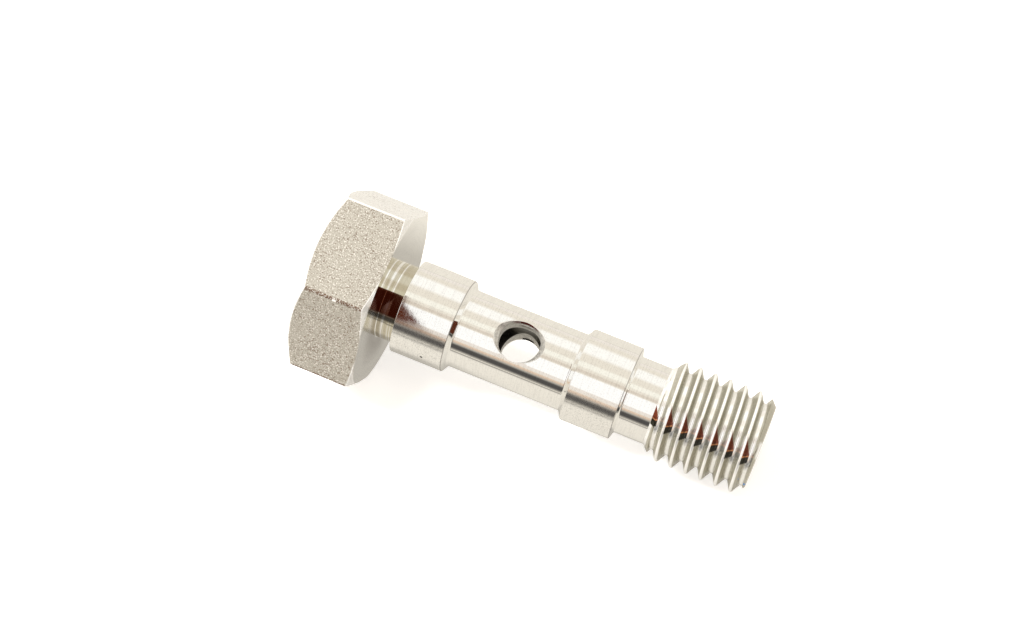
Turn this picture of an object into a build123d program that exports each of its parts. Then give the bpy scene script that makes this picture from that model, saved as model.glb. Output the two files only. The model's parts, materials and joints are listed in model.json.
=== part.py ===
from build123d import *
from math import atan2, cos, degrees, radians, tan
import os

# A banjo bolt with a hexagonal head. Its grooved shank carries the eye of a hose fitting, and
# a cross port and an axial bore lead the fluid from the eye out through the threaded tip.
# It is drawn upright, with the seat under the head at Z = 0 and the tip up, and then laid
# down as it comes to rest: on one flat of its head and on the thread's crest at the tip.
# All lengths are in millimetres and all angles in degrees.

# Head
across_flats = 17.0
head_height = 7.2
top_face_diameter = 16.1
top_chamfer_angle = 30.0
seat_diameter = 17.2
seat_chamfer_angle = 17.5

# Shank, from the seat to the tip
neck_diameter = 7.7
neck_length = 1.85
land_diameter = 9.25
head_land_length = 5.25
waist_diameter = 7.8
waist_length = 12.3
waist_shoulder_run = 0.42
tip_land_length = 4.95
relief_diameter = 7.7
relief_length = 3.25
relief_shoulder_run = 0.25
thread_length = 10.35
tip_chamfer = 0.9

# Thread, right-handed
thread_diameter = 9.9
thread_pitch = 1.5
thread_angle = 60.0
thread_depth = 0.92
thread_crest_width = 0.19
thread_clocking = 57.0

# Fluid passages
bore_diameter = 4.2
bore_mouth_chamfer = 0.4
bore_past_port = 4.2
drill_point_angle = 118.0
port_diameter = 4.0
port_position = 13.45
port_angle = 5.4
port_mouth_diameter = 5.0

# How far a cutting shape reaches past the surface that it cuts
clear_of_part = 0.5
thread_overcut = 0.06

# Heights above the seat
head_land_top = neck_length + head_land_length
tip_land_foot = head_land_top + waist_length
tip_land_top = tip_land_foot + tip_land_length
thread_foot = tip_land_top + relief_length
shank_length = thread_foot + thread_length
full_thread_top = shank_length - tip_chamfer

corner_radius = across_flats / 2 / cos(radians(30))


def make_head():
    """A hexagon whose corners are turned down by a cone on its top and one at its seat."""
    top_slope = tan(radians(top_chamfer_angle))
    seat_slope = tan(radians(seat_chamfer_angle))
    blank_radius = corner_radius + clear_of_part
    top_radius = top_face_diameter / 2
    seat_radius = seat_diameter / 2
    turned_outline = Polyline(
        (0, -head_height),
        (top_radius, -head_height),
        (blank_radius, -head_height + (blank_radius - top_radius) * top_slope),
        (blank_radius, -(blank_radius - seat_radius) * seat_slope),
        (seat_radius, 0),
        (0, 0),
        close=True,
    )
    turned_blank = revolve(Plane.XZ * make_face(turned_outline), Axis.Z)
    hexagon = RegularPolygon(across_flats / 2, 6, major_radius=False, rotation=30)
    return turned_blank & Pos(0, 0, -head_height) * extrude(hexagon, head_height)


def make_plain_shank():
    """The turned steps below the thread: neck, land, waist with leaning shoulders, land, relief."""
    neck = neck_diameter / 2
    land = land_diameter / 2
    waist = waist_diameter / 2
    relief = relief_diameter / 2
    turned_outline = Polyline(
        (0, -head_height / 2),
        (neck, -head_height / 2),
        (neck, neck_length),
        (land, neck_length),
        (land, head_land_top),
        (waist, head_land_top + waist_shoulder_run),
        (waist, tip_land_foot - waist_shoulder_run),
        (land, tip_land_foot),
        (land, tip_land_top),
        (relief, tip_land_top + relief_shoulder_run),
        (relief, thread_foot),
        (0, thread_foot),
        close=True,
    )
    return revolve(Plane.XZ * make_face(turned_outline), Axis.Z)


def make_threaded_rod():
    """A rod longer than the thread, with a V groove swept along a helix inside its length."""
    root_radius = thread_diameter / 2 - thread_depth
    outer_radius = thread_diameter / 2 + thread_overcut
    flank_slope = tan(radians(thread_angle / 2))
    outer_half_width = (thread_pitch - thread_crest_width) / 2 + thread_overcut * flank_slope
    root_half_width = outer_half_width - (outer_radius - root_radius) * flank_slope
    section = Polyline(
        (root_radius, -root_half_width),
        (outer_radius, -outer_half_width),
        (outer_radius, outer_half_width),
        (root_radius, root_half_width),
        close=True,
    )
    groove_height = thread_length + 2 * thread_pitch
    helix = Helix(thread_pitch, groove_height, root_radius)
    groove = sweep(Plane.XZ * make_face(section), path=helix, is_frenet=True)
    rod_height = groove_height + 2 * thread_pitch
    rod = Pos(0, 0, (groove_height - thread_pitch) / 2) * Cylinder(thread_diameter / 2, rod_height)
    return Pos(0, 0, thread_foot - thread_pitch) * Rot(0, 0, thread_clocking) * (rod - groove)


def make_threaded_end():
    """The threaded rod, turned down to a lead cone at the relief and a chamfer at the tip."""
    relief = relief_diameter / 2
    thread = thread_diameter / 2
    turned_outline = Polyline(
        (0, thread_foot),
        (relief, thread_foot),
        (thread + clear_of_part, thread_foot + thread + clear_of_part - relief),
        (thread + clear_of_part, full_thread_top - clear_of_part),
        (thread - tip_chamfer, shank_length),
        (0, shank_length),
        close=True,
    )
    return revolve(Plane.XZ * make_face(turned_outline), Axis.Z) & make_threaded_rod()


def make_bore():
    """The axial hole: a drilled blind end below the port, and a chamfered mouth in the tip."""
    bore = bore_diameter / 2
    bore_end = port_position - bore_past_port
    point_height = bore / tan(radians(drill_point_angle / 2))
    mouth = bore + bore_mouth_chamfer + clear_of_part
    drilled_outline = Polyline(
        (0, bore_end - point_height),
        (bore, bore_end),
        (bore, shank_length - bore_mouth_chamfer),
        (mouth, shank_length + clear_of_part),
        (0, shank_length + clear_of_part),
        close=True,
    )
    return revolve(Plane.XZ * make_face(drilled_outline), Axis.Z)


def make_port():
    """The cross hole through the waist, countersunk at both of its mouths."""
    port = port_diameter / 2
    mouth = port_mouth_diameter / 2
    waist = waist_diameter / 2
    sunk_floor = waist - (mouth - port)
    drilled_outline = Polyline(
        (0, 0),
        (port, 0),
        (port, sunk_floor),
        (mouth + clear_of_part, waist + clear_of_part),
        (0, waist + clear_of_part),
        close=True,
    )
    half_port = revolve(Plane.XZ * make_face(drilled_outline), Axis.Z)
    port_axis = Pos(0, 0, port_position) * Rot(0, 0, port_angle)
    return [port_axis * Rot(0, side * 90, 0) * half_port for side in (1, -1)]


def lie_down(upright):
    """Turns the bolt onto its +X flat, tips it onto its thread and centres its footprint.

    The flat's edge at the seat carries the head, so the tilt runs from there to the last full
    crest. A seat narrower than the hexagon drops that edge below the seat.
    """
    seat_drop = max(across_flats - seat_diameter, 0) / 2 * tan(radians(seat_chamfer_angle))
    step_down = (across_flats - thread_diameter) / 2
    tilt = degrees(atan2(step_down, full_thread_top + seat_drop))
    lying = Rot(0, 90 + tilt, 0) * upright
    box = lying.bounding_box()
    return Pos(-box.center().X, -box.center().Y, -box.min.Z) * lying


bolt = make_head() + make_plain_shank() + make_threaded_end()
bolt -= make_bore()
for half_port in make_port():
    bolt -= half_port

os.makedirs("parts", exist_ok=True)
export_step(lie_down(bolt), "parts/banjo_bolt.step")
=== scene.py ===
"""Dresses the banjo bolt: a finely meshed copy of its solid in turned and blasted steel."""

import json
import logging
import math
from dataclasses import dataclass, field
from enum import IntEnum

import bmesh
import bpy
import numpy as np
from mathutils import Matrix, Vector


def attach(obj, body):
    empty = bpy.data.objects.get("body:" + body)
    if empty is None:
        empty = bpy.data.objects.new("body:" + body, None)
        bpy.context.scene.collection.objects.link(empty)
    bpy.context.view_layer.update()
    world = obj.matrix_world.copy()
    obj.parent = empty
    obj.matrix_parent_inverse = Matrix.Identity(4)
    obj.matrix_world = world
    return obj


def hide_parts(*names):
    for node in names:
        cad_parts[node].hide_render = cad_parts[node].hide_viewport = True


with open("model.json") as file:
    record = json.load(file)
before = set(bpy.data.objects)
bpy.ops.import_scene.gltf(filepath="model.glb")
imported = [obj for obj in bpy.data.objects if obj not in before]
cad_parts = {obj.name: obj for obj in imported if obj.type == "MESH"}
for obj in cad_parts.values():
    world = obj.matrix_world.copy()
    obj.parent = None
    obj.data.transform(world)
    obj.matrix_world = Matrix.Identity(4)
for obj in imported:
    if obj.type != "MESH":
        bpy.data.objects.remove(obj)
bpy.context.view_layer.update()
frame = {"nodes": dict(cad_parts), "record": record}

LOG = logging.getLogger("banjo_bolt")
NODE = "banjo_bolt"
MM = 0.001
IMAGE_WIDTH_PX = 1024
SENSOR_WIDTH_MM = 36.0
ON_SURFACE_MM = 2e-5
WELD_DISTANCE_MM = 1e-4
SHARP_ANGLE = math.radians(38)
EASE_STEPS = 3
ROWS_PER_EASED_CORNER = EASE_STEPS + 3
WHITE = (1.0, 1.0, 1.0)

Colour = tuple[float, float, float]
Spot = tuple[float, float, float]
Stretch = tuple[float, float, float, float]


class Region(IntEnum):
    """The kinds of surface on the bolt, in the order of its material slots."""

    FLATS = 0
    TURNED = 1
    THREAD = 2
    DRILLED = 3


@dataclass(frozen=True)
class Sheet:
    """A grid of points that is one patch of the bolt's skin.

    points has the shape (rows, columns, 3), in millimetres in the bolt's own frame: x runs
    along its axis from the seat to the tip, and z is square to the head's upper flat.
    """

    points: np.ndarray
    region: Region
    closed: bool = True


@dataclass(frozen=True)
class Seating:
    """Where the bolt lies: its own frame's origin and directions in the shared frame."""

    origin: Vector
    along: Vector
    side: Vector
    up: Vector

    @classmethod
    def from_record(cls, record: dict, bore_mark_mm: float) -> "Seating":
        """Reads the axis from the axial bore's mount.

        Args:
            record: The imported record.
            bore_mark_mm: How far from the seat the mount's point lies.

        Returns:
            The seating, with its origin at the centre of the seat.
        """
        bore = next(m for m in record["mounts"] if m["name"] == "axial_bore")
        along = Vector(bore["axis"]).normalized()
        side = Vector((0.0, 1.0, 0.0))
        origin = Vector(bore["pos_m"]) - along * bore_mark_mm * MM
        return cls(origin, along, side, along.cross(side))

    def matrix(self) -> Matrix:
        """Returns the matrix from millimetres in the bolt's frame to metres in the shared one."""
        turn = Matrix((self.along, self.side, self.up)).transposed().to_4x4()
        return Matrix.Translation(self.origin) @ turn @ Matrix.Scale(MM, 4)


# ---------------------------------------------------------------- surface mathematics


def ring_angles(steps: int, corner_half_width: float) -> np.ndarray:
    """Angles round the axis that every ring of the bolt shares.

    They are even, with a few more close to the hexagon's six corners, at shares of the angle
    that half of a rounded corner takes up.

    Args:
        steps: Number of even steps, a multiple of six.
        corner_half_width: Angle from a corner to the end of its rounding, in radians.

    Returns:
        The sorted angles, in radians, from y towards z.
    """
    even = np.linspace(0, 2 * np.pi, steps, endpoint=False)
    near = corner_half_width * np.array([-1.6, -1.0, -0.5, 0.5, 1.0, 1.6])
    extra = (np.arange(6)[:, None] * np.pi / 3 + near).ravel() % (2 * np.pi)
    return np.unique(np.concatenate([even, extra]).round(9))


def turned(path: np.ndarray, angles: np.ndarray) -> np.ndarray:
    """Carries a path round the axis: a point (x, r) becomes (x, r cos a, r sin a).

    Args:
        path: Points (x, r), shaped (rows, 2), or (rows, angles, 2) where it changes on the way.
        angles: The angles of the columns.

    Returns:
        Points shaped (rows, angles, 3).
    """
    path = path if path.ndim == 3 else path[:, None, :]
    x, r = np.broadcast_arrays(path[..., 0], path[..., 1] + 0 * angles)
    return np.stack([x, r * np.cos(angles), r * np.sin(angles)], axis=-1)


def eased(path: np.ndarray, cuts: list[float], steps: int = EASE_STEPS) -> np.ndarray:
    """Rounds the corners of a path, or of many paths side by side.

    A corner P with a cut c becomes the curve (1-t)^2 A + 2t(1-t) P + t^2 B, where A and B lie
    c from P on the way to the points before and after it. One more row on each side keeps the
    faces beyond it flat. A cut takes at most a third of the stretch that it shortens.

    Args:
        path: Points shaped (rows, ..., dimensions).
        cuts: One cut for each row, and 0 for a corner that stays sharp.
        steps: Number of steps round each corner.

    Returns:
        The longer array of rows.
    """
    rows = [path[0]]
    for index in range(1, len(path) - 1):
        corner = path[index]
        if not cuts[index]:
            rows.append(corner)
            continue
        before, after = path[index - 1] - corner, path[index + 1] - corner
        size_before = np.linalg.norm(before, axis=-1, keepdims=True) + 1e-12
        size_after = np.linalg.norm(after, axis=-1, keepdims=True) + 1e-12
        cut = np.minimum(cuts[index], np.minimum(size_before, size_after) / 3)
        start, end = corner + before / size_before * cut, corner + after / size_after * cut
        rows.append(corner + before / size_before * cut * 1.4)
        for t in np.linspace(0, 1, steps + 1):
            rows.append((1 - t) ** 2 * start + 2 * t * (1 - t) * corner + t**2 * end)
        rows.append(corner + after / size_after * cut * 1.4)
    rows.append(path[-1])
    return np.stack(np.broadcast_arrays(*rows))


# ---------------------------------------------------------------- the bolt's sub-assemblies


@dataclass
class Head:
    """The hexagonal head, with a turned cone at its top and one at its seat."""

    across_flats: float = 17.0
    height: float = 7.2
    top_face_diameter: float = 16.1
    top_chamfer_deg: float = 30.0
    seat_diameter: float = 17.2
    seat_chamfer_deg: float = 17.5
    corner_rounding: float = 0.14
    edge_break: float = 0.05
    rows_along_flats: int = 40

    @property
    def corner_half_width(self) -> float:
        """The angle from a corner to the end of its rounding, in radians."""
        return math.atan(self.corner_rounding / 2 / self._corner_reach())

    def _corner_reach(self) -> float:
        """Distance from the axis to where a corner's rounding ends, seen along the corner."""
        centre = (self.across_flats / 2 - self.corner_rounding) / math.cos(math.pi / 6)
        return centre + self.corner_rounding * math.cos(math.pi / 6)

    def outline(self, angles: np.ndarray) -> np.ndarray:
        """Distance from the axis to the hexagon with rounded corners.

        A flat lies at apothem / cos d from the axis, with d from the flat's middle, and a
        corner's arc at c cos e + sqrt(p^2 - c^2 sin^2 e), with e from the corner, c the
        distance of the arc's centre and p its radius.
        """
        from_middle = angles % (np.pi / 3) - np.pi / 6
        from_corner = (angles + np.pi / 6) % (np.pi / 3) - np.pi / 6
        flat = self.across_flats / 2 / np.cos(from_middle)
        centre = (self.across_flats / 2 - self.corner_rounding) / math.cos(math.pi / 6)
        inside = self.corner_rounding**2 - (centre * np.sin(from_corner)) ** 2
        arc = centre * np.cos(from_corner) + np.sqrt(np.maximum(inside, 0))
        return np.where(np.abs(from_corner) < self.corner_half_width, arc, flat)

    def sheets(self, angles: np.ndarray, neck_radius: float) -> list[Sheet]:
        """Meshes the head, from the middle of its top face to the neck.

        Args:
            angles: The shared ring angles.
            neck_radius: Where the seat's flat ring ends.

        Returns:
            The top with its cone, the six flats, and the seat with its cone.
        """
        edge = self.outline(angles)
        still = np.zeros_like(angles)
        top, seat = self.top_face_diameter / 2, self.seat_diameter / 2
        top_slope = math.tan(math.radians(self.top_chamfer_deg))
        seat_slope = math.tan(math.radians(self.seat_chamfer_deg))
        rim = np.minimum(edge, seat)
        corners = [
            (still - self.height, still),
            (still - self.height, still + top),
            (-self.height + (edge - top) * top_slope, edge),
            (-(edge - rim) * seat_slope, edge),
            (still, rim),
            (still, still + neck_radius),
        ]
        path = np.stack([np.stack(corner, axis=-1) for corner in corners])
        soft = self.edge_break
        path = eased(path, [0, soft, soft, soft, soft, 0])
        flat_start = 2 * ROWS_PER_EASED_CORNER
        flat_end = flat_start + 1
        share = np.linspace(0, 1, self.rows_along_flats)[:, None, None]
        flats = path[flat_start] * (1 - share) + path[flat_end] * share
        return [
            Sheet(turned(path[: flat_start + 1], angles), Region.TURNED),
            Sheet(turned(flats, angles), Region.FLATS),
            Sheet(turned(path[flat_end:], angles), Region.TURNED),
        ]


@dataclass
class Passages:
    """The axial bore and the cross port, whose mouths are countersunk."""

    bore_diameter: float = 4.2
    bore_mouth_chamfer: float = 0.4
    bore_past_port: float = 4.2
    drill_point_deg: float = 118.0
    port_diameter: float = 4.0
    port_position: float = 13.45
    port_angle_deg: float = 5.4
    port_mouth_diameter: float = 5.0
    window_half_length: float = 3.3
    bore_window_half_length: float = 2.6
    window_half_angle_deg: float = 80.0
    window_steps: int = 28
    patch_rows: int = 9
    patch_crowding: float = 0.8
    edge_rounds: int = 20
    ease: float = 0.04

    @property
    def bore_end(self) -> float:
        """Where the bore's full diameter ends, below the port."""
        return self.port_position - self.bore_past_port

    def mouths(self) -> list[float]:
        """The angles of the port's two mouths, in radians."""
        first = math.pi / 2 + math.radians(self.port_angle_deg)
        return [first, first + math.pi]

    def window(self, angles: np.ndarray, mouth: float) -> tuple[int, int]:
        """Picks the ring angles between which a mouth's patch lies.

        Args:
            angles: The shared ring angles.
            mouth: The angle of the mouth's middle.

        Returns:
            The first and last column, where last may be smaller because it has gone round.
        """
        half = math.radians(self.window_half_angle_deg)
        ends = [(mouth + side * half) % (2 * math.pi) for side in (-1, 1)]
        first, last = (int(np.argmin(np.abs(angles - end))) for end in ends)
        return first, last

    def _frame_of(self, angles: np.ndarray, mouth: float, half_length: float) -> np.ndarray:
        """The patch's outer boundary as (x, angle from the mouth), once round it.

        Args:
            angles: The shared ring angles.
            mouth: The angle of the mouth's middle.
            half_length: Half of the patch's length along the axis.

        Returns:
            Points shaped (count, 2), in order, without repeating the first.
        """
        first, last = self.window(angles, mouth)
        columns = np.arange(first, last + 1 if last > first else last + 1 + len(angles))
        sweep = (angles[columns % len(angles)] - mouth + np.pi) % (2 * np.pi) - np.pi
        x = self.port_position + np.linspace(-half_length, half_length, self.window_steps + 1)
        lower = np.stack([np.full(len(sweep), x[0]), sweep], axis=-1)
        right = np.stack([x, np.full(len(x), sweep[-1])], axis=-1)
        upper = np.stack([np.full(len(sweep), x[-1]), sweep], axis=-1)[::-1]
        left = np.stack([x, np.full(len(x), sweep[0])], axis=-1)[::-1]
        return np.concatenate([lower[:-1], right[:-1], upper[:-1], left[:-1]])

    def _on_cylinder(self, spot: np.ndarray, mouth: float, radius: float) -> np.ndarray:
        """Places (x, angle from the mouth) on a cylinder about the bolt's axis."""
        around = spot[..., 1] + mouth
        return np.stack(
            [spot[..., 0], radius * np.cos(around), radius * np.sin(around)], axis=-1
        )

    def port_sheets(self, angles: np.ndarray, mouth: float, waist_radius: float) -> list[Sheet]:
        """Meshes one half of the port with the patches of waist and bore round its ends.

        Round the port's axis, at the angle a, the hole's edge lies at the radius q where the
        countersink's cone meets the waist: q = p + sqrt(w^2 - q^2 sin^2 a) - f, with p the
        port's radius, w the waist's and f the height of the cone's foot, and never under p.

        Args:
            angles: The shared ring angles.
            mouth: The angle of the mouth's middle.
            waist_radius: Radius of the waist that the port opens in.

        Returns:
            The waist's patch, the hole's rounded edge, its wall and the bore's patch.
        """
        port, bore = self.port_diameter / 2, self.bore_diameter / 2
        foot = waist_radius - (self.port_mouth_diameter / 2 - port)
        outer = self._frame_of(angles, mouth, self.window_half_length)
        inner = self._frame_of(angles, mouth, self.bore_window_half_length)
        around = np.arctan2(waist_radius * outer[:, 1], outer[:, 0] - self.port_position)
        across = np.abs(np.sin(around))
        edge = np.full_like(around, port)
        for _ in range(self.edge_rounds):
            edge = port + np.sqrt(waist_radius**2 - (edge * across) ** 2) - foot
        edge = np.maximum(edge, port)

        def at(radius: np.ndarray, height: np.ndarray) -> np.ndarray:
            """Places radius and height about the port's own axis in the bolt's frame."""
            sideways = radius * np.sin(around)
            axis = np.array([math.cos(mouth), math.sin(mouth)])
            flank = np.array([-math.sin(mouth), math.cos(mouth)])
            y_z = height[:, None] * axis + sideways[:, None] * flank
            x = self.port_position + radius * np.cos(around)
            return np.concatenate([x[:, None], y_z], axis=-1)

        def hole_spot(radius: np.ndarray, wall: float) -> np.ndarray:
            """The hole's edge on a cylinder, as (x, angle from the mouth)."""
            turn = np.arcsin(np.clip(radius * np.sin(around) / wall, -1, 1))
            return np.stack([self.port_position + radius * np.cos(around), turn], axis=-1)

        share = np.linspace(0, 1, self.patch_rows)[:, None, None] ** self.patch_crowding
        on_waist = outer * (1 - share) + hole_spot(edge, waist_radius) * share
        waist_rows = self._on_cylinder(on_waist, mouth, waist_radius)
        cone_foot = at(np.full_like(edge, port), np.minimum(foot + 0 * edge, self._reach(
            waist_radius, port, around)))
        meeting = at(np.full_like(edge, port), self._reach(bore, port, around))
        wall = np.concatenate([waist_rows[-2:], cone_foot[None], meeting[None]])
        wall = eased(wall, [0, self.ease, self.ease, 0])
        rim_end = ROWS_PER_EASED_CORNER - 1
        on_bore = hole_spot(np.full_like(edge, port), bore) * (1 - share) + inner * share
        bore_rows = self._on_cylinder(on_bore, mouth, bore)
        return [
            Sheet(waist_rows[:-1], Region.TURNED),
            Sheet(wall[: rim_end + 1], Region.TURNED),
            Sheet(wall[rim_end:], Region.DRILLED),
            Sheet(bore_rows, Region.DRILLED),
        ]

    @staticmethod
    def _reach(wall: float, port: float, around: np.ndarray) -> np.ndarray:
        """Height at which the port's wall meets a cylinder: sqrt(w^2 - p^2 sin^2 a)."""
        return np.sqrt(wall**2 - (port * np.sin(around)) ** 2)

    def belt(self, angles: np.ndarray, radius: float, half_length: float, region: Region
             ) -> list[Sheet]:
        """Meshes what a cylinder has beside the two mouths' patches, over their length.

        Args:
            angles: The shared ring angles.
            radius: The cylinder's radius.
            half_length: Half of the patches' length along the axis.
            region: The kind of surface.

        Returns:
            Two strips, each from one patch to the next.
        """
        windows = [self.window(angles, mouth) for mouth in self.mouths()]
        x = self.port_position + np.linspace(-half_length, half_length, self.window_steps + 1)
        strips = []
        for (_, start), (end, _) in zip(windows, windows[::-1]):
            stop = end + 1 if end > start else end + 1 + len(angles)
            around = angles[np.arange(start, stop) % len(angles)]
            path = np.stack([x, np.full_like(x, radius)], axis=-1)
            strips.append(Sheet(turned(path, around), region, closed=False))
        return strips

    def bore_sheets(self, angles: np.ndarray, tip: float) -> list[Sheet]:
        """Meshes the axial bore, from its mouth in the tip to the drill's point.

        Args:
            angles: The shared ring angles.
            tip: Where the bolt's end face lies.

        Returns:
            The two plain stretches and what lies between the port's mouths.
        """
        bore, half = self.bore_diameter / 2, self.bore_window_half_length
        point = bore / math.tan(math.radians(self.drill_point_deg / 2))
        near_tip = np.array([
            (tip, bore + self.bore_mouth_chamfer),
            (tip - self.bore_mouth_chamfer, bore),
            (self.port_position + half, bore),
        ])
        blind = np.array([
            (self.port_position - half, bore),
            (self.bore_end, bore),
            (self.bore_end - point, 0.0),
        ])
        return [
            Sheet(turned(eased(near_tip, [0, self.ease, 0]), angles), Region.DRILLED),
            Sheet(turned(eased(blind, [0, self.ease, 0]), angles), Region.DRILLED),
            *self.belt(angles, bore, half, Region.DRILLED),
        ]


@dataclass
class Shank:
    """The turned steps between the seat and the thread."""

    neck_diameter: float = 7.7
    neck_length: float = 1.85
    land_diameter: float = 9.25
    head_land_length: float = 5.25
    waist_diameter: float = 7.8
    waist_length: float = 12.3
    waist_shoulder_run: float = 0.42
    tip_land_length: float = 4.95
    relief_diameter: float = 7.7
    relief_length: float = 3.25
    relief_shoulder_run: float = 0.25
    edge_break: float = 0.05
    tool_nose: float = 0.12

    @property
    def head_land_top(self) -> float:
        """Where the land at the head ends."""
        return self.neck_length + self.head_land_length

    @property
    def tip_land_foot(self) -> float:
        """Where the land at the tip starts."""
        return self.head_land_top + self.waist_length

    @property
    def tip_land_top(self) -> float:
        """Where the land at the tip ends."""
        return self.tip_land_foot + self.tip_land_length

    @property
    def thread_foot(self) -> float:
        """Where the relief ends and the thread's lead cone starts."""
        return self.tip_land_top + self.relief_length

    def sheets(self, angles: np.ndarray, passages: Passages) -> list[Sheet]:
        """Meshes the shank's turned outline on both sides of the port's patches.

        Args:
            angles: The shared ring angles.
            passages: The port, whose patches the waist makes room for.

        Returns:
            The stretch from the seat, the stretch to the thread and the waist's strips.
        """
        neck, land = self.neck_diameter / 2, self.land_diameter / 2
        waist, relief = self.waist_diameter / 2, self.relief_diameter / 2
        soft, nose = self.edge_break, self.tool_nose
        half = passages.window_half_length
        from_seat = [
            (0.0, neck, 0),
            (self.neck_length, neck, nose),
            (self.neck_length, land, soft),
            (self.head_land_top, land, soft),
            (self.head_land_top + self.waist_shoulder_run, waist, nose),
            (passages.port_position - half, waist, 0),
        ]
        to_thread = [
            (passages.port_position + half, waist, 0),
            (self.tip_land_foot - self.waist_shoulder_run, waist, nose),
            (self.tip_land_foot, land, soft),
            (self.tip_land_top, land, soft),
            (self.tip_land_top + self.relief_shoulder_run, relief, nose),
            (self.thread_foot, relief, 0),
        ]
        sheets = passages.belt(angles, waist, half, Region.TURNED)
        for stretch in (from_seat, to_thread):
            table = np.array(stretch)
            sheets.append(Sheet(turned(eased(table[:, :2], list(table[:, 2])), angles),
                                Region.TURNED))
        return sheets


@dataclass(frozen=True)
class Thread:
    """The right-handed thread, with its lead cone at the relief and a chamfer at the tip."""

    diameter: float = 9.9
    pitch: float = 1.5
    half_angle_deg: float = 30.0
    depth: float = 0.92
    crest_width: float = 0.19
    length: float = 10.35
    tip_chamfer: float = 0.9
    clocking_deg: float = 57.0
    corner_softness: float = 0.03
    samples_per_pitch: int = 26

    def groove_profile(self, offset: np.ndarray) -> np.ndarray:
        """Radius at an offset along the axis from the nearest groove's middle.

        Root, flank and crest are the middle one of three straight lines, and the two corners
        are rounded by taking the mean over a short stretch of the offset.
        """
        top = self.diameter / 2
        root = top - self.depth
        slope = 1 / math.tan(math.radians(self.half_angle_deg))
        crest_start = (self.pitch - self.crest_width) / 2
        spread = self.corner_softness * np.linspace(-1, 1, 7)
        distance = np.abs((offset + self.pitch / 2) % self.pitch - self.pitch / 2)
        near = np.abs(distance[..., None] + spread)
        near = np.minimum(near, self.pitch - near)
        return np.clip(top - (crest_start - near) * slope, root, top).mean(axis=-1)

    def envelope(self, x: np.ndarray, foot: float, relief_radius: float) -> np.ndarray:
        """Radius of the turned blank: two cones at 45 degrees and the rod between them."""
        tip = foot + self.length
        lead = relief_radius + (x - foot)
        chamfer = self.diameter / 2 - self.tip_chamfer + (tip - x)
        return np.minimum(np.minimum(lead, chamfer), self.diameter / 2)

    def sheets(self, angles: np.ndarray, foot: float, relief_radius: float,
               mouth_radius: float) -> list[Sheet]:
        """Meshes the thread and the end face.

        The rows follow the helix: at the angle a, row u lies at x = start + pitch a / 2 pi + u,
        held between the foot and the tip, so that rows past an end fall together there.

        Args:
            angles: The shared ring angles.
            foot: Where the relief ends.
            relief_radius: Radius of the relief.
            mouth_radius: Outer radius of the bore's chamfered mouth.

        Returns:
            The thread and the end face.
        """
        tip = foot + self.length
        around = np.append(angles, 2 * np.pi)
        clocking = math.radians(self.clocking_deg - 90)
        groove = foot - self.pitch + self.pitch * (around - clocking) / (2 * np.pi)
        step = self.pitch / self.samples_per_pitch
        turns = math.ceil(self.length / self.pitch) + 3
        rows = -2 * self.pitch + step * np.arange(turns * self.samples_per_pitch + 1)
        x = np.clip(groove + rows[:, None] + self.pitch, foot, tip)
        radius = np.minimum(self.groove_profile(x - groove), self.envelope(x, foot, relief_radius))
        path = np.stack([x, radius], axis=-1)
        rim = np.stack([path[-1], np.broadcast_to((tip, mouth_radius), path[-1].shape)])
        return [
            Sheet(turned(path, around), Region.THREAD, closed=False),
            Sheet(turned(rim, around), Region.TURNED, closed=False),
        ]


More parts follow.
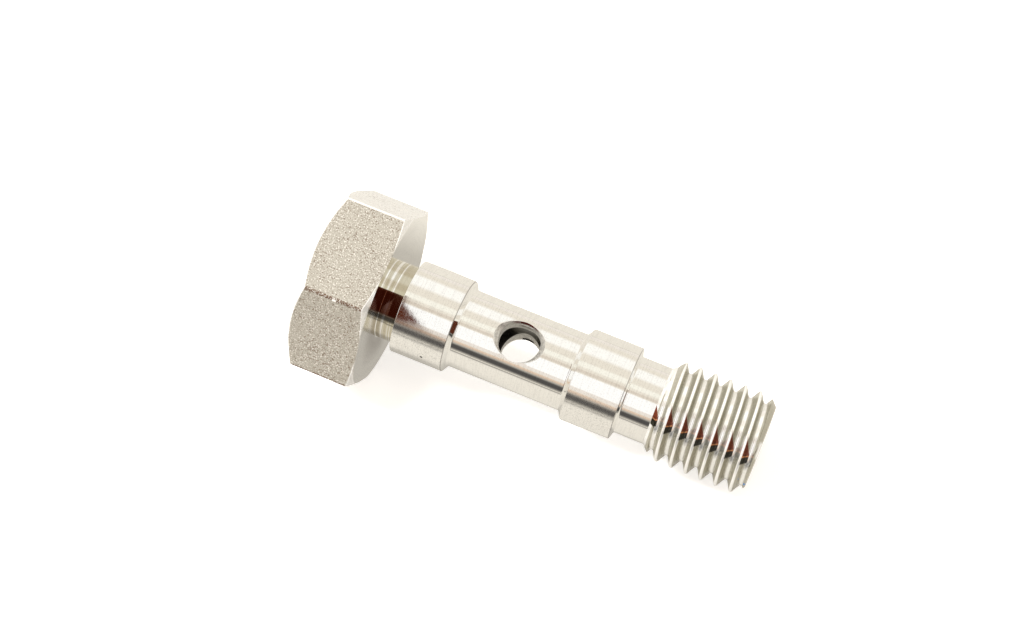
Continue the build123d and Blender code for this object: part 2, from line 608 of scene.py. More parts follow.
@dataclass
class BanjoBolt:
    """The whole bolt, meshed as one closed skin."""

    head: Head = field(default_factory=Head)
    shank: Shank = field(default_factory=Shank)
    thread: Thread = field(default_factory=Thread)
    passages: Passages = field(default_factory=Passages)
    ring_steps: int = 192

    def sheets(self) -> list[Sheet]:
        """Gathers the patches of every sub-assembly."""
        angles = ring_angles(self.ring_steps, self.head.corner_half_width)
        waist = self.shank.waist_diameter / 2
        relief = self.shank.relief_diameter / 2
        foot = self.shank.thread_foot
        mouth = self.passages.bore_diameter / 2 + self.passages.bore_mouth_chamfer
        sheets = self.head.sheets(angles, self.shank.neck_diameter / 2)
        sheets += self.shank.sheets(angles, self.passages)
        sheets += self.thread.sheets(angles, foot, relief, mouth)
        sheets += self.passages.bore_sheets(angles, foot + self.thread.length)
        for mouth_angle in self.passages.mouths():
            sheets += self.passages.port_sheets(angles, mouth_angle, waist)
        return sheets

    def corner_normals(self, mesh: bpy.types.Mesh) -> np.ndarray:
        """Exact shading normals for the waist round the port and for the faces across the axis.

        On the waist they point straight away from the axis, and on a flat face along it.

        Args:
            mesh: The welded mesh, still in millimetres and in the bolt's own frame.

        Returns:
            A normal for each face corner, which is zero for the corners that keep their own.
        """
        points = np.empty(3 * len(mesh.vertices), np.float32)
        mesh.vertices.foreach_get("co", points)
        corners = np.empty(len(mesh.loops), np.int32)
        mesh.loops.foreach_get("vertex_index", corners)
        starts = np.empty(len(mesh.polygons), np.int32)
        mesh.polygons.foreach_get("loop_start", starts)
        spots = points.reshape(-1, 3)[corners].astype(float)
        waist = self.shank.waist_diameter / 2
        on_waist = np.abs(np.hypot(spots[:, 1], spots[:, 2]) - waist) < ON_SURFACE_MM
        reach = self.passages.window_half_length + self.passages.ease
        on_waist &= np.abs(spots[:, 0] - self.passages.port_position) < reach
        normals = spots * (0, 1, 1) / waist * on_waist[:, None]
        corners_of_face = np.diff(np.append(starts, len(corners)))
        tip = self.shank.thread_foot + self.thread.length
        for level, facing in ((-self.head.height, -1), (0.0, 1), (tip, 1)):
            near = np.abs(spots[:, 0] - level) < ON_SURFACE_MM
            flat = np.repeat(np.logical_and.reduceat(near, starts), corners_of_face)
            normals[flat] = (facing, 0, 0)
        return normals

    def build(self, name: str, seating: Seating) -> bpy.types.Object:
        """Welds the patches into one mesh and lays it down.

        Args:
            name: Name of the new object.
            seating: Where the bolt lies.

        Returns:
            The object, at the origin, with its place in its mesh.
        """
        points, faces, regions = merge_sheets(self.sheets())
        mesh = bpy.data.meshes.new(name)
        mesh.from_pydata(points, [], faces)
        mesh.polygons.foreach_set("material_index", regions)
        weld(mesh)
        turn = np.array(seating.matrix().to_3x3().normalized())
        normals = self.corner_normals(mesh) @ turn.T
        mesh.transform(seating.matrix())
        mesh.shade_smooth()
        mesh.set_sharp_from_angle(angle=SHARP_ANGLE)
        mesh.normals_split_custom_set(normals)
        piece = bpy.data.objects.new(name, mesh)
        bpy.context.scene.collection.objects.link(piece)
        return piece


def merge_sheets(sheets: list[Sheet]) -> tuple[np.ndarray, np.ndarray, np.ndarray]:
    """Strings the patches together into one list of points, quads and regions.

    Args:
        sheets: The patches.

    Returns:
        Points (n, 3), quads (m, 4) as point numbers, and a region number for each quad.
    """
    points, faces, regions = [], [], []
    start = 0
    for sheet in sheets:
        rows, columns, _ = sheet.points.shape
        number = start + np.arange(rows * columns).reshape(rows, columns)
        if sheet.closed:
            number = np.concatenate([number, number[:, :1]], axis=1)
        quads = np.stack(
            [number[:-1, :-1], number[:-1, 1:], number[1:, 1:], number[1:, :-1]], axis=-1
        ).reshape(-1, 4)
        points.append(sheet.points.reshape(-1, 3))
        faces.append(quads)
        regions.append(np.full(len(quads), int(sheet.region), np.int32))
        start += rows * columns
    return np.concatenate(points), np.concatenate(faces), np.concatenate(regions)


def weld(mesh: bpy.types.Mesh) -> None:
    """Joins the patches where their points meet, and turns every face outwards.

    Args:
        mesh: The mesh, still in millimetres.
    """
    work = bmesh.new()
    work.from_mesh(mesh)
    bmesh.ops.remove_doubles(work, verts=work.verts, dist=WELD_DISTANCE_MM)
    bmesh.ops.dissolve_degenerate(work, edges=work.edges, dist=WELD_DISTANCE_MM)
    bmesh.ops.recalc_face_normals(work, faces=work.faces)
    open_edges = sum(1 for edge in work.edges if len(edge.link_faces) != 2)
    LOG.info("skin: %d faces, %d open edges, volume %.0f mm3",
             len(work.faces), open_edges, work.calc_volume(signed=True))
    work.to_mesh(mesh)
    work.free()


# ---------------------------------------------------------------- shaders as expressions


@dataclass(frozen=True)
class Wire:
    """A number or vector in a node tree, with operators that add its Math nodes."""

    tree: bpy.types.NodeTree
    socket: bpy.types.NodeSocket

    def _maths(self, operation: str, *inputs: "Wire | float") -> "Wire":
        """Adds a Math node, or a Vector Math node where this wire is a vector."""
        kind = "ShaderNodeVectorMath" if self.socket.type == "VECTOR" else "ShaderNodeMath"
        values = dict(enumerate(inputs))
        return add(self.tree, kind, {"operation": operation}, values)

    def __add__(self, other: "Wire | float") -> "Wire":
        """Adds."""
        return self._maths("ADD", self, other)

    def __radd__(self, other: float) -> "Wire":
        """Adds, reflected."""
        return self._maths("ADD", other, self)

    def __sub__(self, other: "Wire | float") -> "Wire":
        """Subtracts."""
        return self._maths("SUBTRACT", self, other)

    def __rsub__(self, other: float) -> "Wire":
        """Subtracts, reflected."""
        return self._maths("SUBTRACT", other, self)

    def __mul__(self, other: "Wire | float") -> "Wire":
        """Multiplies."""
        return self._maths("MULTIPLY", self, other)

    def __rmul__(self, other: float) -> "Wire":
        """Multiplies, reflected."""
        return self._maths("MULTIPLY", other, self)

    def __truediv__(self, other: "Wire | float") -> "Wire":
        """Divides."""
        return self._maths("DIVIDE", self, other)

    def power(self, exponent: float) -> "Wire":
        """Raises to a power."""
        return self._maths("POWER", self, exponent)

    def fraction(self) -> "Wire":
        """Keeps what stands after the decimal point."""
        return self._maths("FRACT", self)

    def degrees_towards(self, other: "Wire") -> "Wire":
        """The angle of a direction with this and the other share, from this one, in degrees."""
        return self._maths("ARCTAN2", other, self) * math.degrees(1)

    def above(self, start: float, end: float) -> "Wire":
        """Rises smoothly from 0 at start to 1 at end."""
        settings = {"interpolation_type": "SMOOTHSTEP"}
        return add(self.tree, "ShaderNodeMapRange", settings, {0: self, 1: start, 2: end})

    def below(self, start: float, end: float) -> "Wire":
        """Falls smoothly from 1 at start to 0 at end."""
        return 1 - self.above(start, end)

    def within(self, start: float, full: float, fading: float, end: float) -> "Wire":
        """Rises from 0 at start to 1 at full, and falls from 1 at fading to 0 at end."""
        return self.above(start, full) * self.below(fading, end)

    def dot(self, direction: Vector) -> "Wire":
        """The share of this vector along a direction."""
        values = {0: self, 1: tuple(direction)}
        return add(self.tree, "ShaderNodeVectorMath", {"operation": "DOT_PRODUCT"}, values,
                   "Value")

    def length(self) -> "Wire":
        """The length of this vector."""
        return add(self.tree, "ShaderNodeVectorMath", {"operation": "LENGTH"}, {0: self},
                   "Value")

    def mix(self, low: "Wire | Colour", high: "Wire | Colour") -> "Wire":
        """Mixes two colours by this factor."""
        settings = {"data_type": "RGBA"}
        values = {0: self, 6: low, 7: high}
        return add(self.tree, "ShaderNodeMix", settings, values, 2)


def add(tree: bpy.types.NodeTree, kind: str, settings: dict | None = None,
        values: dict | None = None, output: int | str = 0) -> Wire | None:
    """Adds a node, sets it up and links or fills its sockets.

    Args:
        tree: The node tree.
        kind: The node's type.
        settings: The node's own properties, set first.
        values: Socket names or numbers with a wire, number, colour or vector for each.
        output: Name or number of the socket that is given back.

    Returns:
        The node's output as a wire, or None for a node that ends its tree.
    """
    node = tree.nodes.new(kind)
    for key, value in (settings or {}).items():
        setattr(node, key, value)
    for key, value in (values or {}).items():
        socket = node.inputs[key]
        if isinstance(value, Wire):
            tree.links.new(value.socket, socket)
        elif isinstance(value, (tuple, list)) and socket.type == "RGBA" and len(value) == 3:
            socket.default_value = (*value, 1.0)
        elif isinstance(value, (tuple, list)) or socket.type not in ("VECTOR", "RGBA"):
            socket.default_value = value
        else:
            socket.default_value = (value,) * len(socket.default_value)
    return Wire(tree, node.outputs[output]) if node.outputs else None


def combine(x: Wire, y: Wire, z: Wire) -> Wire:
    """Joins three numbers into a vector."""
    return add(x.tree, "ShaderNodeCombineXYZ", values={0: x, 1: y, 2: z})


def noise(vector: Wire, scale: float, detail: float = 2.0, roughness: float = 0.5) -> Wire:
    """Adds a noise texture that runs from about 0.2 to 0.8.

    Args:
        vector: Pattern coordinates.
        scale: How many blobs there are to a unit.
        detail: Number of finer layers.
        roughness: Share of the finer layers.

    Returns:
        The noise.
    """
    values = {"Vector": vector, "Scale": scale, "Detail": detail, "Roughness": roughness}
    return add(vector.tree, "ShaderNodeTexNoise", values=values)


def new_tree(name: str) -> tuple[bpy.types.Material, bpy.types.NodeTree]:
    """Makes a material with an empty node tree.

    Args:
        name: The material's name.

    Returns:
        The material and its tree.
    """
    material = bpy.data.materials.new(name)
    material.use_nodes = True
    material.node_tree.nodes.clear()
    return material, material.node_tree


@dataclass(frozen=True)
class BoltPlace:
    """A shaded point's place in the bolt's own frame, in millimetres."""

    along: Wire
    side: Wire
    up: Wire
    radius: Wire
    vector: Wire

    @classmethod
    def read(cls, tree: bpy.types.NodeTree, seating: Seating) -> "BoltPlace":
        """Works the place out from Object coordinates.

        Args:
            tree: The node tree.
            seating: Where the bolt lies.

        Returns:
            The place as wires.
        """
        spot = add(tree, "ShaderNodeTexCoord", output="Object")
        local = spot - tuple(seating.origin)
        along, side, up = (
            local.dot(direction) * (1 / MM)
            for direction in (seating.along, seating.side, seating.up)
        )
        radius = (side * side + up * up).power(0.5)
        vector = combine(along, side, up)
        return cls(along, side, up, radius, vector)

    def degrees(self) -> Wire:
        """The angle round the axis from the side direction towards the up direction."""
        return self.side.degrees_towards(self.up)

    def ring_vector(self, along_scale: float, around_scale: float) -> Wire:
        """Pattern coordinates that are stretched round the axis, with no seam.

        Args:
            along_scale: Scale of the distance along the profile.
            around_scale: Scale of the direction from the axis.

        Returns:
            The coordinates.
        """
        profile = (self.along + self.radius) * along_scale
        return combine(profile, self.side / self.radius * around_scale,
                       self.up / self.radius * around_scale)


# ---------------------------------------------------------------- finishes


@dataclass(frozen=True)
class Mark:
    """A small mark of wear: a spot, or a short scratch between two points of the bolt."""

    start: Spot
    end: Spot
    half_width_mm: float
    colour: Colour

    def laid_on(self, colour: Wire, place: BoltPlace) -> Wire:
        """Lays the mark over a colour.

        Args:
            colour: What shows beside the mark.
            place: The shaded point's place.

        Returns:
            The colour with the mark on it.
        """
        run = Vector(self.end) - Vector(self.start)
        away = place.vector - self.start
        if run.length > 0:
            share = (away.dot(run) * (1 / run.length_squared)).above(0.0, 1.0)
            away = away - add(colour.tree, "ShaderNodeVectorMath", {"operation": "SCALE"},
                              {0: tuple(run), "Scale": share})
        shown = away.length().below(self.half_width_mm * 0.6, self.half_width_mm)
        return shown.mix(colour, self.colour)


@dataclass(frozen=True)
class BlastedSteel:
    """The head's flats: a matt grain of tiny facets, with dark pits and bright grains, the far flat
    painted lighter as painted light, and painted reflection lines along the corners.
    """

    name: str = "blasted_flats"
    colour: Colour = (0.435, 0.405, 0.35)
    far_flat_lit_colour: Colour = (0.69, 0.68, 0.66)
    pit_colour: Colour = (0.25, 0.205, 0.165)
    grain_colour: Colour = (0.76, 0.73, 0.68)
    edge_dark_reflection_colour: Colour = (0.16, 0.10, 0.07)
    edge_highlight_colour: Colour = (0.85, 0.83, 0.80)
    metallic: float = 0.55
    roughness: float = 0.5
    grain_per_mm: float = 7.4
    pit_noise: tuple[float, float] = (0.38, 0.47)
    sparkle_noise: tuple[float, float] = (0.55, 0.66)
    edge_reflection_noise: tuple[float, float] = (0.50, 0.56)
    far_side_mm: tuple[float, float] = (4.85, 4.95)
    near_side_mm: tuple[float, float] = (-1.0, 1.0)
    edge_start_mm: float = 9.68
    bump_mm: float = 0.04
    marks: tuple[Mark, ...] = ()

    def material(self, seating: Seating) -> bpy.types.Material:
        """Builds the finish.

        Args:
            seating: Where the bolt lies.

        Returns:
            The material.
        """
        material, tree = new_tree(self.name)
        place = BoltPlace.read(tree, seating)
        grain = noise(place.vector, self.grain_per_mm, 2.0, 0.6)
        coarse = noise(place.vector, self.grain_per_mm * 0.35, 2.0)
        patch = noise(place.vector, self.grain_per_mm * 0.06, 2.0)
        pits = (grain * 0.7 + coarse * 0.3 + (patch - 0.5) * 0.12).below(*self.pit_noise)
        sparkle = grain.above(*self.sparkle_noise)
        # Painted light: the flat facing the far side is coloured lighter, with fewer pits, standing
        # in for how the light falls on it.
        lit_far_flat = place.side.above(*self.far_side_mm)
        colour = lit_far_flat.mix(self.colour, self.far_flat_lit_colour)
        colour = (pits * (1 - lit_far_flat * 0.55)).mix(colour, self.pit_colour)
        colour = sparkle.mix(colour, self.grain_colour)
        # Painted reflections along the rounded corners: a dark line broken by the grain on the near
        # side, and a bright painted highlight line on the others.
        near = place.side.below(*self.near_side_mm)
        edge = place.radius.above(self.edge_start_mm, self.edge_start_mm + 0.06)
        dark_edge_reflection = edge * near * grain.below(*self.edge_reflection_noise)
        colour = dark_edge_reflection.mix(colour, self.edge_dark_reflection_colour)
        edge = place.radius.above(self.edge_start_mm + 0.04, self.edge_start_mm + 0.07)
        colour = (edge * (1 - near)).mix(colour, self.edge_highlight_colour)
        for mark in self.marks:
            colour = mark.laid_on(colour, place)
        bump = add(tree, "ShaderNodeBump", values={
            "Strength": 0.6, "Distance": self.bump_mm * MM, "Height": grain + coarse * 0.8})
        shade = add(tree, "ShaderNodeBsdfPrincipled", values={
            "Base Color": colour, "Metallic": self.metallic,
            "Roughness": self.roughness + pits * 0.2 - sparkle * 0.12, "Normal": bump})
        add(tree, "ShaderNodeOutputMaterial", values={"Surface": shade})
        return material


@dataclass(frozen=True)
class TurnedSteel:
    """A bright turned surface: fine rings left by the tool, and satin low down on the lands."""

    name: str
    colour: Colour = (0.97, 0.965, 0.95)
    roughness: float = 0.03
    satin_roughness: float = 0.12
    rings_per_mm: float = 7.0
    ring_depth_mm: float = 0.00006
    mottle_depth_mm: float = 0.0002
    neck_reflection_colour: Colour = (0.60, 0.56, 0.45)
    neck_mm: Stretch = (0.02, 0.06, 1.75, 1.85)
    head_top_mm: tuple[float, float] = (-7.19, -7.14)
    head_mm: tuple[float, float] = (-0.08, -0.03)
    head_top_colour: Colour = (0.78, 0.77, 0.75)
    head_cone_colour: Colour = (0.84, 0.83, 0.81)
    dark_reflection_colour: Colour = (0.20, 0.045, 0.018)
    reflected_shadow_colour: Colour = (0.24, 0.19, 0.17)
    dark_reflection_side_mm: Stretch = (-2.9, -2.5, -0.8, -0.5)
    reflected_shadow_radius_mm: Stretch = (3.9, 4.0, 4.4, 7.4)
    reflected_shadow_side_mm: tuple[float, float] = (-3.4, -1.6)
    dirt_and_corner_shade_colour: Colour = (0.06, 0.04, 0.03)
    corner_shade_lines_mm: tuple[Stretch, ...] = ((7.04, 7.08, 7.12, 7.16), (24.32, 24.35, 24.38, 24.42))
    satin_radius_mm: tuple[float, float] = (4.4, 4.5)
    satin_side_mm: tuple[float, float] = (-3.4, -2.4)
    metallic: float = 1.0
    cone_paint: float = 0.55
    marks: tuple[Mark, ...] = ()

    def satin(self, place: BoltPlace) -> Wire:
        """Where the surface is satin: on the head, and low down on the near side of the lands."""
        low = place.radius.above(*self.satin_radius_mm) * place.side.below(*self.satin_side_mm)
        return low + place.along.below(*self.head_mm) * 0.5

    def head_top(self, place: BoltPlace) -> Wire:
        """Where the head's top face is."""
        return place.along.below(*self.head_top_mm)

    def head_cones(self, place: BoltPlace) -> Wire:
        """Where the head is turned, apart from its bearing face and its top face."""
        return place.along.below(*self.head_mm) * (1 - self.head_top(place))

    def base_colour(self, place: BoltPlace) -> Wire:
        """Colours the shank, with painted reflections on the neck, a painted reflected shadow on
        the bearing face and painted shade lines in the corners of its steps.

        Args:
            place: The shaded point's place.

        Returns:
            The base colour.
        """
        along = place.along
        neck = along.within(*self.neck_mm)
        # Painted reflection: the neck is coloured a duller olive, broken up by ring noise, in place
        # of what it mirrors.
        rings = noise(place.ring_vector(1.0, 0.05), 3.0, 2.0).below(0.5, 0.62)
        colour = (neck * rings).mix(self.colour, self.neck_reflection_colour)
        colour = self.head_cones(place).mix(colour, self.head_cone_colour)
        colour = self.head_top(place).mix(colour, self.head_top_colour)
        # Painted reflection: a dark red-brown patch on the near side of the neck stands in for the
        # room mirrored there.
        dark_reflection = neck * place.side.within(*self.dark_reflection_side_mm)
        colour = (dark_reflection * 0.85).mix(colour, self.dark_reflection_colour)
        # Painted reflected shadow: the bearing face is darkened near the neck on the near side,
        # where it mirrors the floor's shadow.
        bearing_face = along.within(-0.06, -0.03, 0.02, 0.06)
        reflected_shadow = place.radius.within(*self.reflected_shadow_radius_mm) * place.side.below(*self.reflected_shadow_side_mm)
        colour = (reflected_shadow * bearing_face * 0.55).mix(colour, self.reflected_shadow_colour)
        speck = noise(place.vector, self.rings_per_mm, 3.0, 0.7).below(0.36, 0.50)
        speck = speck * (1 + self.satin(place) * 1.5)
        streak = noise(place.ring_vector(1.0, 0.3), self.rings_per_mm, 2.0).below(0.34, 0.56)
        # Specks and streaks are the surface's own mottling. The dark lines at the feet of the steps
        # are painted shade in their corners.
        dirt_and_corner_shade = speck * 0.09 + streak * 0.06
        for line in self.corner_shade_lines_mm:
            dirt_and_corner_shade = dirt_and_corner_shade + along.within(*line) * 0.5
        colour = dirt_and_corner_shade.mix(colour, self.dirt_and_corner_shade_colour)
        for mark in self.marks:
            colour = mark.laid_on(colour, place)
        return colour

    def material(self, seating: Seating) -> bpy.types.Material:
        """Builds the finish.

        Args:
            seating: Where the bolt lies.

        Returns:
            The material.
        """
        material, tree = new_tree(self.name)
        place = BoltPlace.read(tree, seating)
        rings = noise(place.ring_vector(1.0, 0.3), self.rings_per_mm, 3.0, 0.7)
        mottle = noise(place.vector, 2.6, 3.0, 0.6)
        haze = noise(place.vector, 0.8, 4.0, 0.65)
        height = rings * self.ring_depth_mm + mottle * self.mottle_depth_mm
        bump = add(tree, "ShaderNodeBump", values={
            "Strength": 1.0, "Distance": MM, "Height": height})
        rough = self.roughness + haze.above(0.5, 0.75) * 0.03
        rough = rough + self.satin(place) * self.satin_roughness
        shade = add(tree, "ShaderNodeBsdfPrincipled", values={
            "Base Color": self.base_colour(place),
            "Metallic": self.metallic * (1 - self.head_cones(place) * self.cone_paint),
            "Roughness": rough, "Normal": bump})
        add(tree, "ShaderNodeOutputMaterial", values={"Surface": shade})
        return material


@dataclass(frozen=True)
class DrilledSteel(TurnedSteel):
    """The walls of the passages: grey and scored, with painted shade in the axial bore and a
    painted dark reflection at the port's far rim.
    """

    rim_reflection_colour: Colour = (0.14, 0.025, 0.015)
    bore_shade_colour: Colour = (0.10, 0.095, 0.08)
    score_colour: Colour = (0.20, 0.19, 0.17)
    bore_radius_mm: tuple[float, float] = (2.14, 2.20)
    rim_radius_mm: tuple[float, float] = (3.20, 3.35)
    rim_side_mm: tuple[float, float] = (1.1, 1.5)
    rim_up_mm: tuple[float, float] = (0.5, 1.0)

    def base_colour(self, place: BoltPlace) -> Wire:
        """Colours the walls.

        Args:
            place: The shaded point's place.

        Returns:
            The base colour.
        """
        score = noise(place.vector, 3.0, 4.0, 0.7).below(0.35, 0.65)
        colour = (score * 0.5).mix(self.colour, self.score_colour)
        # Painted shade: the axial bore's wall, deep inside the part, is coloured nearly black.
        colour = place.radius.below(*self.bore_radius_mm).mix(colour, self.bore_shade_colour)
        # Painted reflection: a dark red patch just inside the port's far rim.
        rim = place.radius.above(*self.rim_radius_mm) * place.side.above(*self.rim_side_mm)
        return (rim * place.up.above(*self.rim_up_mm)).mix(colour, self.rim_reflection_colour)


@dataclass(frozen=True)
class CutThread(TurnedSteel):
    """The thread: flanks painted greyer than the bright crest and root as painted shade, with
    painted reflections in places.

    The painted dark reflection lies on the flanks that face the tip. It starts as a point at the
    crest, widens round the axis to the whole flank, and ends nearly black, with a painted glint
    near its end.
    """

    flank_shade_colour: Colour = (0.48, 0.46, 0.385)
    glint_colour: Colour = (0.85, 0.42, 0.20)
    black: Colour = (0.03, 0.028, 0.02)
    thread: Thread = Thread()
    foot_mm: float = 27.6
    dark_reflection_deg: Stretch = (102.0, 104.0, 134.5, 136.0)
    dark_reflection_full_width_deg: float = 126.0
    dark_reflection_phase: tuple[float, float] = (0.54, 0.57)
    dark_reflection_reach: tuple[float, float] = (0.55, 0.58)
    dark_reflection_widening: float = 0.38
    black_deg: tuple[float, float] = (126.5, 127.5)
    glint_deg: Stretch = (124.8, 125.3, 126.0, 126.6)
    highlight_phase: Stretch = (0.26, 0.40, 0.47, 0.50)
    highlight_deg: Stretch = (100.0, 106.0, 122.0, 128.0)

    def base_colour(self, place: BoltPlace) -> Wire:
        """Colours the thread by its depth and by its turn.

        Args:
            place: The shaded point's place.

        Returns:
            The base colour.
        """
        crest = self.thread.diameter / 2
        root = crest - self.thread.depth
        # Painted shade: the flanks between root and crest are coloured greyer, standing in for the
        # darker light in the grooves.
        flank = place.radius.within(root + 0.05, root + 0.13, crest - 0.12, crest - 0.04)
        colour = flank.mix(self.colour, self.flank_shade_colour)
        degrees = place.degrees()
        turns = (place.along - self.foot_mm) * (1 / self.thread.pitch) - degrees * (1 / 360)
        phase = (turns + (self.thread.clocking_deg - 90) / 360).fraction()
        # Painted highlights: white patches on the flanks where they would mirror a bright part of
        # the room.
        highlight = phase.within(*self.highlight_phase) * degrees.within(*self.highlight_deg)
        colour = highlight.mix(colour, WHITE)
        # Painted reflection: a dark red-brown patch on the flanks that face the tip, turning black,
        # with an orange painted glint, standing in for the room mirrored there.
        widening = degrees.above(self.dark_reflection_deg[0], self.dark_reflection_full_width_deg)
        reach = (phase - widening * self.dark_reflection_widening).below(*self.dark_reflection_reach)
        dark_reflected = phase.above(*self.dark_reflection_phase) * reach * degrees.within(*self.dark_reflection_deg)
        dark_reflection = degrees.above(*self.black_deg).mix(self.dark_reflection_colour, self.black)
        dark_reflection = degrees.within(*self.glint_deg).mix(dark_reflection, self.glint_colour)
        colour = dark_reflected.mix(colour, dark_reflection)
        for mark in self.marks:
            colour = mark.laid_on(colour, place)
        return colour


# ---------------------------------------------------------------- studio


@dataclass(frozen=True)
class Camera:
    """The camera, placed in the bolt's own frame, in millimetres."""

    position: Spot = (34.451, -58.366, 176.330)
    look: Spot = (-0.12220, 0.32474, -0.93788)
    up: Spot = (-0.36798, 0.86279, 0.34669)
    focal_px: float = 1956.86

    def build(self, seating: Seating) -> None:
        """Adds the camera and makes it the scene's.

        Args:
            seating: Where the bolt lies.
        """
        data = bpy.data.cameras.new("camera")
        data.sensor_width = SENSOR_WIDTH_MM
        data.lens = self.focal_px / IMAGE_WIDTH_PX * SENSOR_WIDTH_MM
        data.clip_start, data.clip_end = 0.01, 10.0
        camera = bpy.data.objects.new("camera", data)
        bpy.context.scene.collection.objects.link(camera)
        turn = seating.matrix().to_3x3().normalized()
        back = -(turn @ Vector(self.look)).normalized()
        right = (turn @ Vector(self.up)).cross(back).normalized()
        rotation = Matrix((right, back.cross(right), back)).transposed().to_4x4()
        place = seating.matrix() @ Vector(self.position)
        camera.matrix_world = Matrix.Translation(place) @ rotation
        bpy.context.scene.camera = camera


@dataclass(frozen=True)
class Band:
    """A stretch of the room, lengthwise to the bolt, at some angles round its axis.

    start and end are degrees from the bolt's side direction towards its up direction, and the
    band fades in and out over soft degrees inside them.
    """

    start: float
    end: float
    soft: float
    colour: Colour

    def laid_on(self, colour: Wire | Colour, degrees: Wire, limit: Wire | float = 1.0) -> Wire:
        """Lays the band over a colour.

        Args:
            colour: What shows beside the band.
            degrees: The angle round the bolt's axis.
            limit: Where else the band may show.

        Returns:
            The colour with the band on it.
        """
        share = degrees.above(self.start, self.start + self.soft)
        share = share * degrees.below(self.end - self.soft, self.end) * limit
        return share.mix(colour, self.colour)


@dataclass(frozen=True)
class Lamp:
    """A square soft lamp, with its place, its aim and its side in metres and its power in watts."""

    name: str
    place: Spot
    aim: Spot
    size: float
    power: float

    def hang(self) -> None:
        """Adds the lamp to the scene, where no mirrored surface shows it."""
        data = bpy.data.lights.new(self.name, "AREA")
        data.size, data.energy = self.size, self.power
        lamp = bpy.data.objects.new(self.name, data)
        lamp.location = self.place
        facing = Vector(self.aim) - Vector(self.place)
        lamp.rotation_euler = facing.to_track_quat("-Z", "Y").to_euler()
        lamp.visible_glossy = False
        bpy.context.scene.collection.objects.link(lamp)


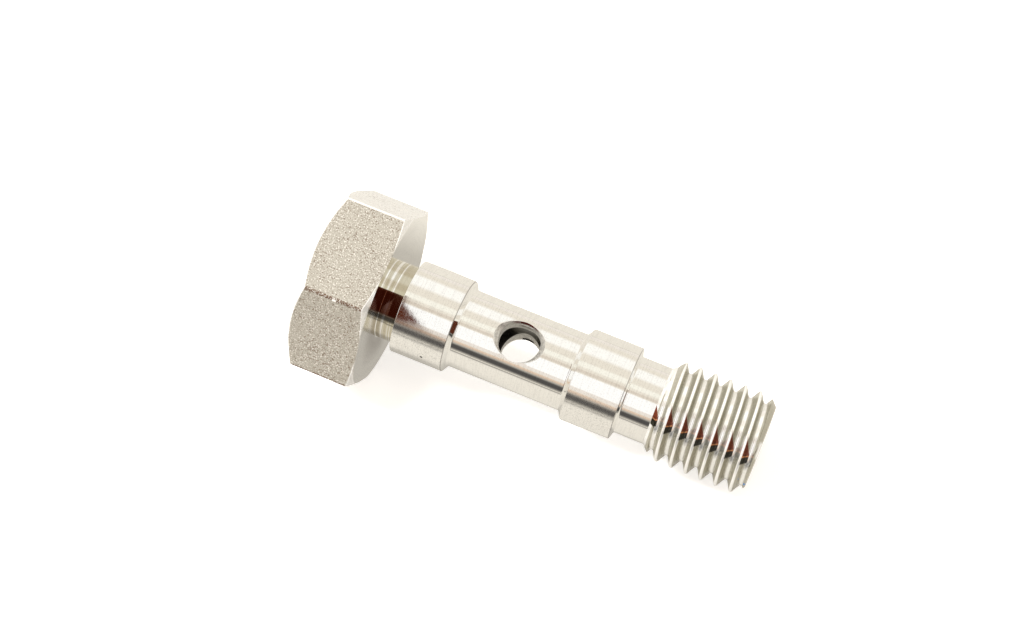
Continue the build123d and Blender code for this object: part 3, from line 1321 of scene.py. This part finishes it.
@dataclass(frozen=True)
class Studio:
    """A white table in a bright room, with a dark stretch of wall beyond its near edge."""

    floor_size: float = 1.2
    floor_colour: Colour = (0.93, 0.91, 0.88)
    mirrored_floor_colour: Colour = (0.20, 0.19, 0.17)
    mirrored_glow: Colour = (0.40, 0.38, 0.34)
    floor_glow: float = 0.48
    past_edge_share: float = 0.6
    table_edge_mm: float = 55.0
    room: Colour = (0.86, 0.80, 0.69)
    dark: Colour = (0.085, 0.08, 0.075)
    dark_deg: Stretch = (151, 164, 171, 185)
    dark_along: tuple[float, float] = (-0.6, -0.5)
    brown: Band = Band(86, 160, 3, (0.10, 0.028, 0.014))
    brown_near: Stretch = (-0.32, -0.26, -0.177, -0.1745)
    brown_lean: float = -0.011
    brown_lean_deg: tuple[float, float] = (101, 143)
    brown_far: Stretch = (0.14, 0.16, 0.24, 0.30)
    brown_end: tuple[float, float] = (0.88, 0.89)
    key: Lamp = Lamp("key", (-0.33, 0.0, 0.67), (0.0, 0.0, 0.0), 0.30, 10.0)
    bands: tuple[Band, ...] = (
        Band(-30, 14, 12, (0.90, 0.84, 0.76)),
        Band(19, 60, 11, (1.06, 1.04, 0.98)),
        Band(73, 92, 6, (1.00, 0.97, 0.86)),
        Band(94, 104, 3, (0.74, 0.66, 0.56)),
        Band(103, 142, 4, (1.08, 1.07, 1.04)),
        Band(138, 150, 4, (0.88, 0.81, 0.73)),
        Band(148, 158, 3, (0.78, 0.61, 0.47)),
    )

    def world(self, seating: Seating) -> None:
        """Lights the room with a world that is white to the camera.

        Args:
            seating: Where the bolt lies.
        """
        world = bpy.data.worlds.new("room")
        bpy.context.scene.world = world
        world.use_nodes = True
        tree = world.node_tree
        tree.nodes.clear()
        direction = add(tree, "ShaderNodeTexCoord", output="Generated")
        side, up, along = (direction.dot(d) for d in (seating.side, seating.up, seating.along))
        degrees = side.degrees_towards(up)
        colour = self.room
        for band in self.bands:
            colour = band.laid_on(colour, degrees)
        leaning = along + degrees.above(*self.brown_lean_deg) * self.brown_lean
        ends = leaning.within(*self.brown_near) + along.within(*self.brown_far)
        colour = self.brown.laid_on(colour, degrees, ends + along.above(*self.brown_end))
        shade = degrees.within(*self.dark_deg) * along.above(*self.dark_along)
        colour = shade.mix(colour, self.dark)
        path = add(tree, "ShaderNodeLightPath", output="Is Camera Ray")
        seen = path.mix(colour, WHITE)
        background = add(tree, "ShaderNodeBackground", values={"Color": seen, "Strength": 1.0})
        add(tree, "ShaderNodeOutputWorld", values={"Surface": background})

    def floor(self) -> bpy.types.Object:
        """Lays the table's top at the height that the bolt rests on.

        Returns:
            The table's top.
        """
        half = self.floor_size / 2
        corners = [(-half, -half, 0), (half, -half, 0), (half, half, 0), (-half, half, 0)]
        mesh = bpy.data.meshes.new("floor")
        mesh.from_pydata(corners, [], [(0, 1, 2, 3)])
        floor = bpy.data.objects.new("floor", mesh)
        bpy.context.scene.collection.objects.link(floor)
        material, tree = new_tree("white_table")
        diffuse = add(tree, "ShaderNodeBsdfDiffuse", values={"Color": self.floor_colour})
        glow = add(tree, "ShaderNodeEmission", values={
            "Color": WHITE, "Strength": self.floor_glow})
        both = add(tree, "ShaderNodeAddShader", values={0: diffuse, 1: glow})
        spot = add(tree, "ShaderNodeTexCoord", output="Object")
        away = spot.dot(Vector((0.0, -1.0, 0.0))) * (1 / MM)
        beyond = add(tree, "ShaderNodeEmission", values={"Color": self.dark})
        past_edge = away.above(self.table_edge_mm, self.table_edge_mm * 3) * self.past_edge_share
        darker = add(tree, "ShaderNodeBsdfDiffuse", values={
            "Color": self.mirrored_floor_colour})
        even = add(tree, "ShaderNodeEmission", values={"Color": self.mirrored_glow})
        darker = add(tree, "ShaderNodeAddShader", values={0: darker, 1: even})
        reflected = add(tree, "ShaderNodeMixShader", values={
            0: past_edge, 1: darker, 2: beyond})
        camera = add(tree, "ShaderNodeLightPath", output="Is Camera Ray")
        glossy = add(tree, "ShaderNodeLightPath", output="Is Glossy Ray")
        shade = add(tree, "ShaderNodeMixShader", values={0: glossy, 1: diffuse, 2: reflected})
        shade = add(tree, "ShaderNodeMixShader", values={0: camera, 1: shade, 2: both})
        add(tree, "ShaderNodeOutputMaterial", values={"Surface": shade})
        mesh.materials.append(material)
        return floor

    def build(self, seating: Seating) -> None:
        """Sets up the room, the table and the lamp.

        Args:
            seating: Where the bolt lies.
        """
        self.world(seating)
        self.floor()
        self.key.hang()


# ---------------------------------------------------------------- wear, by place on the bolt

NICKS = (
    Mark((-3.25, -4.92, 8.36), (-3.05, -4.91, 8.36), 0.16, (0.95, 0.93, 0.90)),
    Mark((-2.85, -4.80, 8.40), (-2.85, -4.80, 8.40), 0.12, (0.08, 0.05, 0.04)),
    Mark((-0.50, -9.55, -0.60), (-0.20, -9.40, -0.30), 0.16, (0.06, 0.05, 0.045)),
    Mark((-0.75, 8.00, 5.30), (-0.35, 7.90, 5.20), 0.14, (0.10, 0.08, 0.07)),
)
PAINT = (Mark((37.75, -4.25, 0.60), (37.45, -4.45, 1.20), 0.25, (0.02, 0.25, 0.70)),)
WEAR = (
    Mark((5.14, -4.54, 0.87), (5.14, -4.54, 0.87), 0.17, (0.03, 0.025, 0.02)),
    Mark((15.15, -3.17, 2.27), (15.50, -2.65, 2.86), 0.07, (1.0, 1.0, 1.0)),
)


def main() -> None:
    """Builds the bolt, dresses it and sets up the studio."""
    logging.basicConfig(level=logging.INFO, format="%(name)s: %(message)s")
    bolt = BanjoBolt()
    seating = Seating.from_record(frame["record"], bolt.shank.tip_land_top)
    skin = bolt.build("bolt_skin", seating)
    finishes = {
        Region.FLATS: BlastedSteel(marks=NICKS),
        Region.TURNED: TurnedSteel("turned_shank", marks=WEAR),
        Region.THREAD: CutThread("cut_thread", roughness=0.16, metallic=0.8, marks=PAINT),
        Region.DRILLED: DrilledSteel("drilled_wall", (0.80, 0.78, 0.73), 0.3, metallic=0.8),
    }
    for region in Region:
        skin.data.materials.append(finishes[region].material(seating))
    for slot in frame["nodes"][NODE].material_slots:
        slot.material = skin.data.materials[Region.TURNED]
    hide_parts(NODE)
    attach(skin, "root")
    LOG.info("%s rides on root and stands for %s", skin.name, NODE)

    Studio().build(seating)
    Camera().build(seating)
    bpy.context.scene.view_settings.view_transform = "Standard"


if __name__ == "__main__":
    main()
